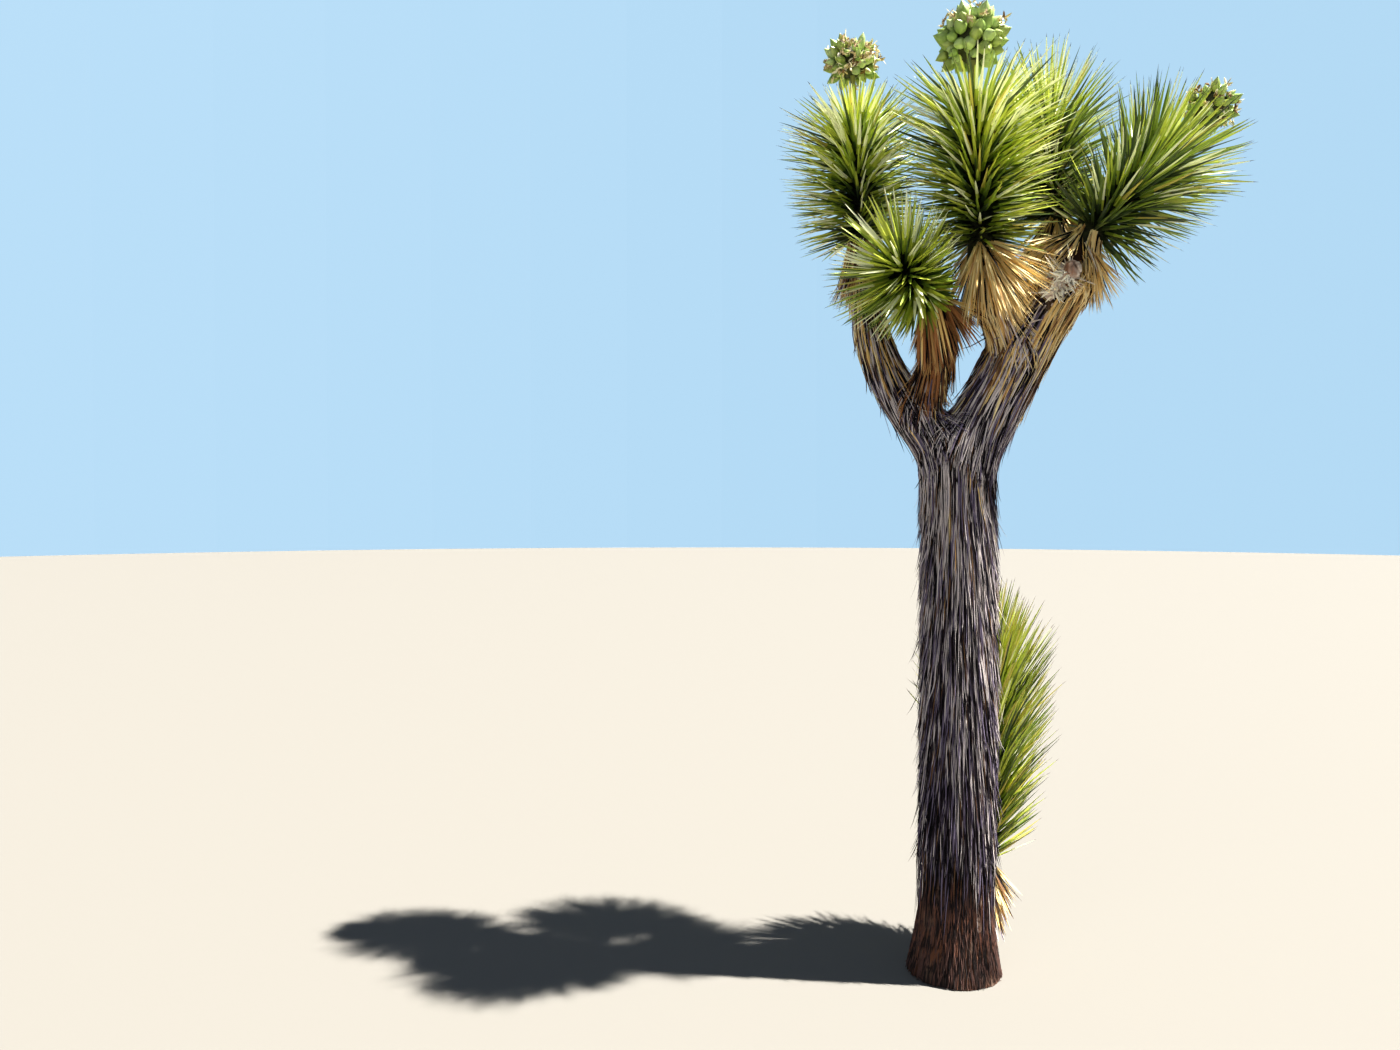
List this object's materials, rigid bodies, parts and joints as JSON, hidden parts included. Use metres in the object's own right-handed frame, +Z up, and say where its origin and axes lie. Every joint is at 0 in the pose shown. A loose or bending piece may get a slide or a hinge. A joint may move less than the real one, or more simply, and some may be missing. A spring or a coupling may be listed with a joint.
{
  "type": "joshua tree",
  "caption": "Tall desert yucca tree rooted in the ground: a thatched trunk forks into boughs that end in spiky heads of bayonet leaves with fruit clusters, and a young shoot at its foot.",
  "frame": {"origin": "centre of the flat cut under the trunk, at ground level", "axes": "+Z up the trunk; +X towards the bough that leans right in the picture; +Y away from the picture's camera"},
  "size_m": [1.5955, 1.0142, 3.2796],
  "materials": {
    "bark": "rough furrowed bark, dark brown with rusty cracks",
    "thatch": "matte weathered grey-brown thatch of dead leaves lying down over the bark",
    "dried_stalk": "matte sun-bleached grey",
    "dead_leaf": "dry straw brown, matte",
    "green_leaf": "waxy satin lime to olive green with paler edges and brown spine tips",
    "fruit": "pale green, satin"
  },
  "bodies": {
    "root": {"trunk": "bark", "bough_right": "thatch", "bough_left": "thatch", "stem_right": "thatch", "stem_centre": "thatch", "stem_back": "thatch", "stem_front": "thatch", "shoot_stem": "thatch", "dead_stub": "dried_stalk", "skirt_left": "dead_leaf", "skirt_front": "dead_leaf", "skirt_centre": "dead_leaf", "skirt_back": "dead_leaf", "skirt_right": "dead_leaf", "skirt_shoot": "dead_leaf", "head_left": "green_leaf", "head_front": "green_leaf", "head_centre": "green_leaf", "head_back": "green_leaf", "head_right": "green_leaf", "head_shoot": "green_leaf", "fruit_left": "fruit", "fruit_centre": "fruit", "fruit_right": "fruit"}
  },
  "joints": []
}
